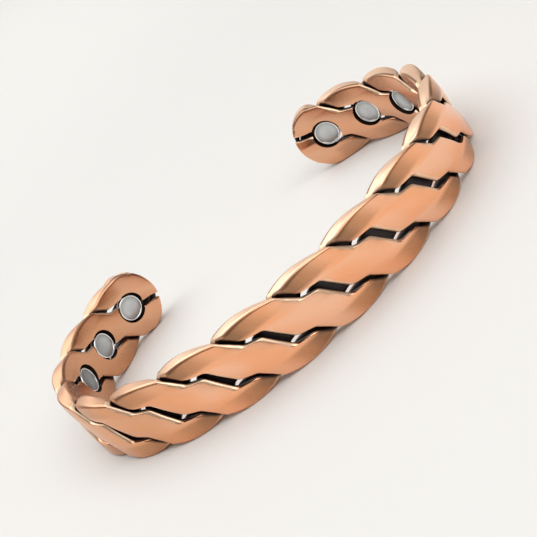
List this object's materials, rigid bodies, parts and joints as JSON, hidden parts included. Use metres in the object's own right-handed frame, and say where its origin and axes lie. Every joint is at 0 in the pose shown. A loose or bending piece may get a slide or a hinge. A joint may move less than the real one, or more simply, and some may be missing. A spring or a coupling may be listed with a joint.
{
  "type": "magnetic bracelet",
  "caption": "Open cuff bracelet of copper strands, twisted and pressed flat into a band with scalloped edges, with round magnets let into the inner face near each tip.",
  "frame": {"origin": "bottom centre of the box: the middle of the cuff on the surface that it lies on", "axes": "+Z along the wrist, +Y out through the opening between the tips, +X towards the right tip"},
  "size_m": [0.0732, 0.0542, 0.0113],
  "materials": {
    "copper": "brushed copper, darkened in the grooves",
    "magnet": "satin nickel plating with a bright rim"
  },
  "bodies": {
    "root": {"strand_1": "copper", "strand_2": "copper", "strand_3": "copper", "left_magnet_1": "magnet", "left_magnet_2": "magnet", "left_magnet_3": "magnet", "right_magnet_1": "magnet", "right_magnet_2": "magnet", "right_magnet_3": "magnet"}
  },
  "joints": []
}
